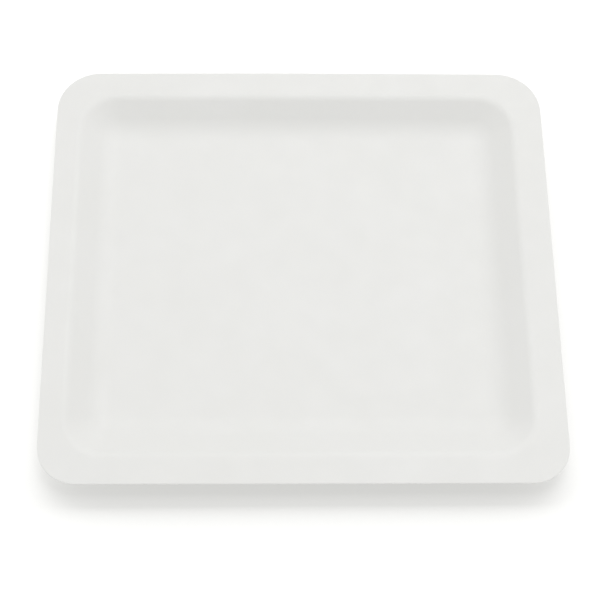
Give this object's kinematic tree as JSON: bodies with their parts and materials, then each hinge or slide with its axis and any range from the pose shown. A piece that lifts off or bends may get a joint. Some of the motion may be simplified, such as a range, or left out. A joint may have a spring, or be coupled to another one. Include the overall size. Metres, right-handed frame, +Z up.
{
  "type": "paint tray",
  "caption": "Shallow rectangular paint tray of thin formed white plastic, with a wide flat rim, rounded corners and soft sloping walls.",
  "frame": {"origin": "the middle of the rim's outline, on the plane that the underside stands on", "axes": "+X along the long side, +Y from the near side to the far side, +Z up out of the well"},
  "size_m": [0.34, 0.306, 0.0112],
  "materials": {
    "white_plastic": "satin white, as formed, with a faint grain"
  },
  "bodies": {
    "root": {"tray": "white_plastic"}
  },
  "joints": []
}
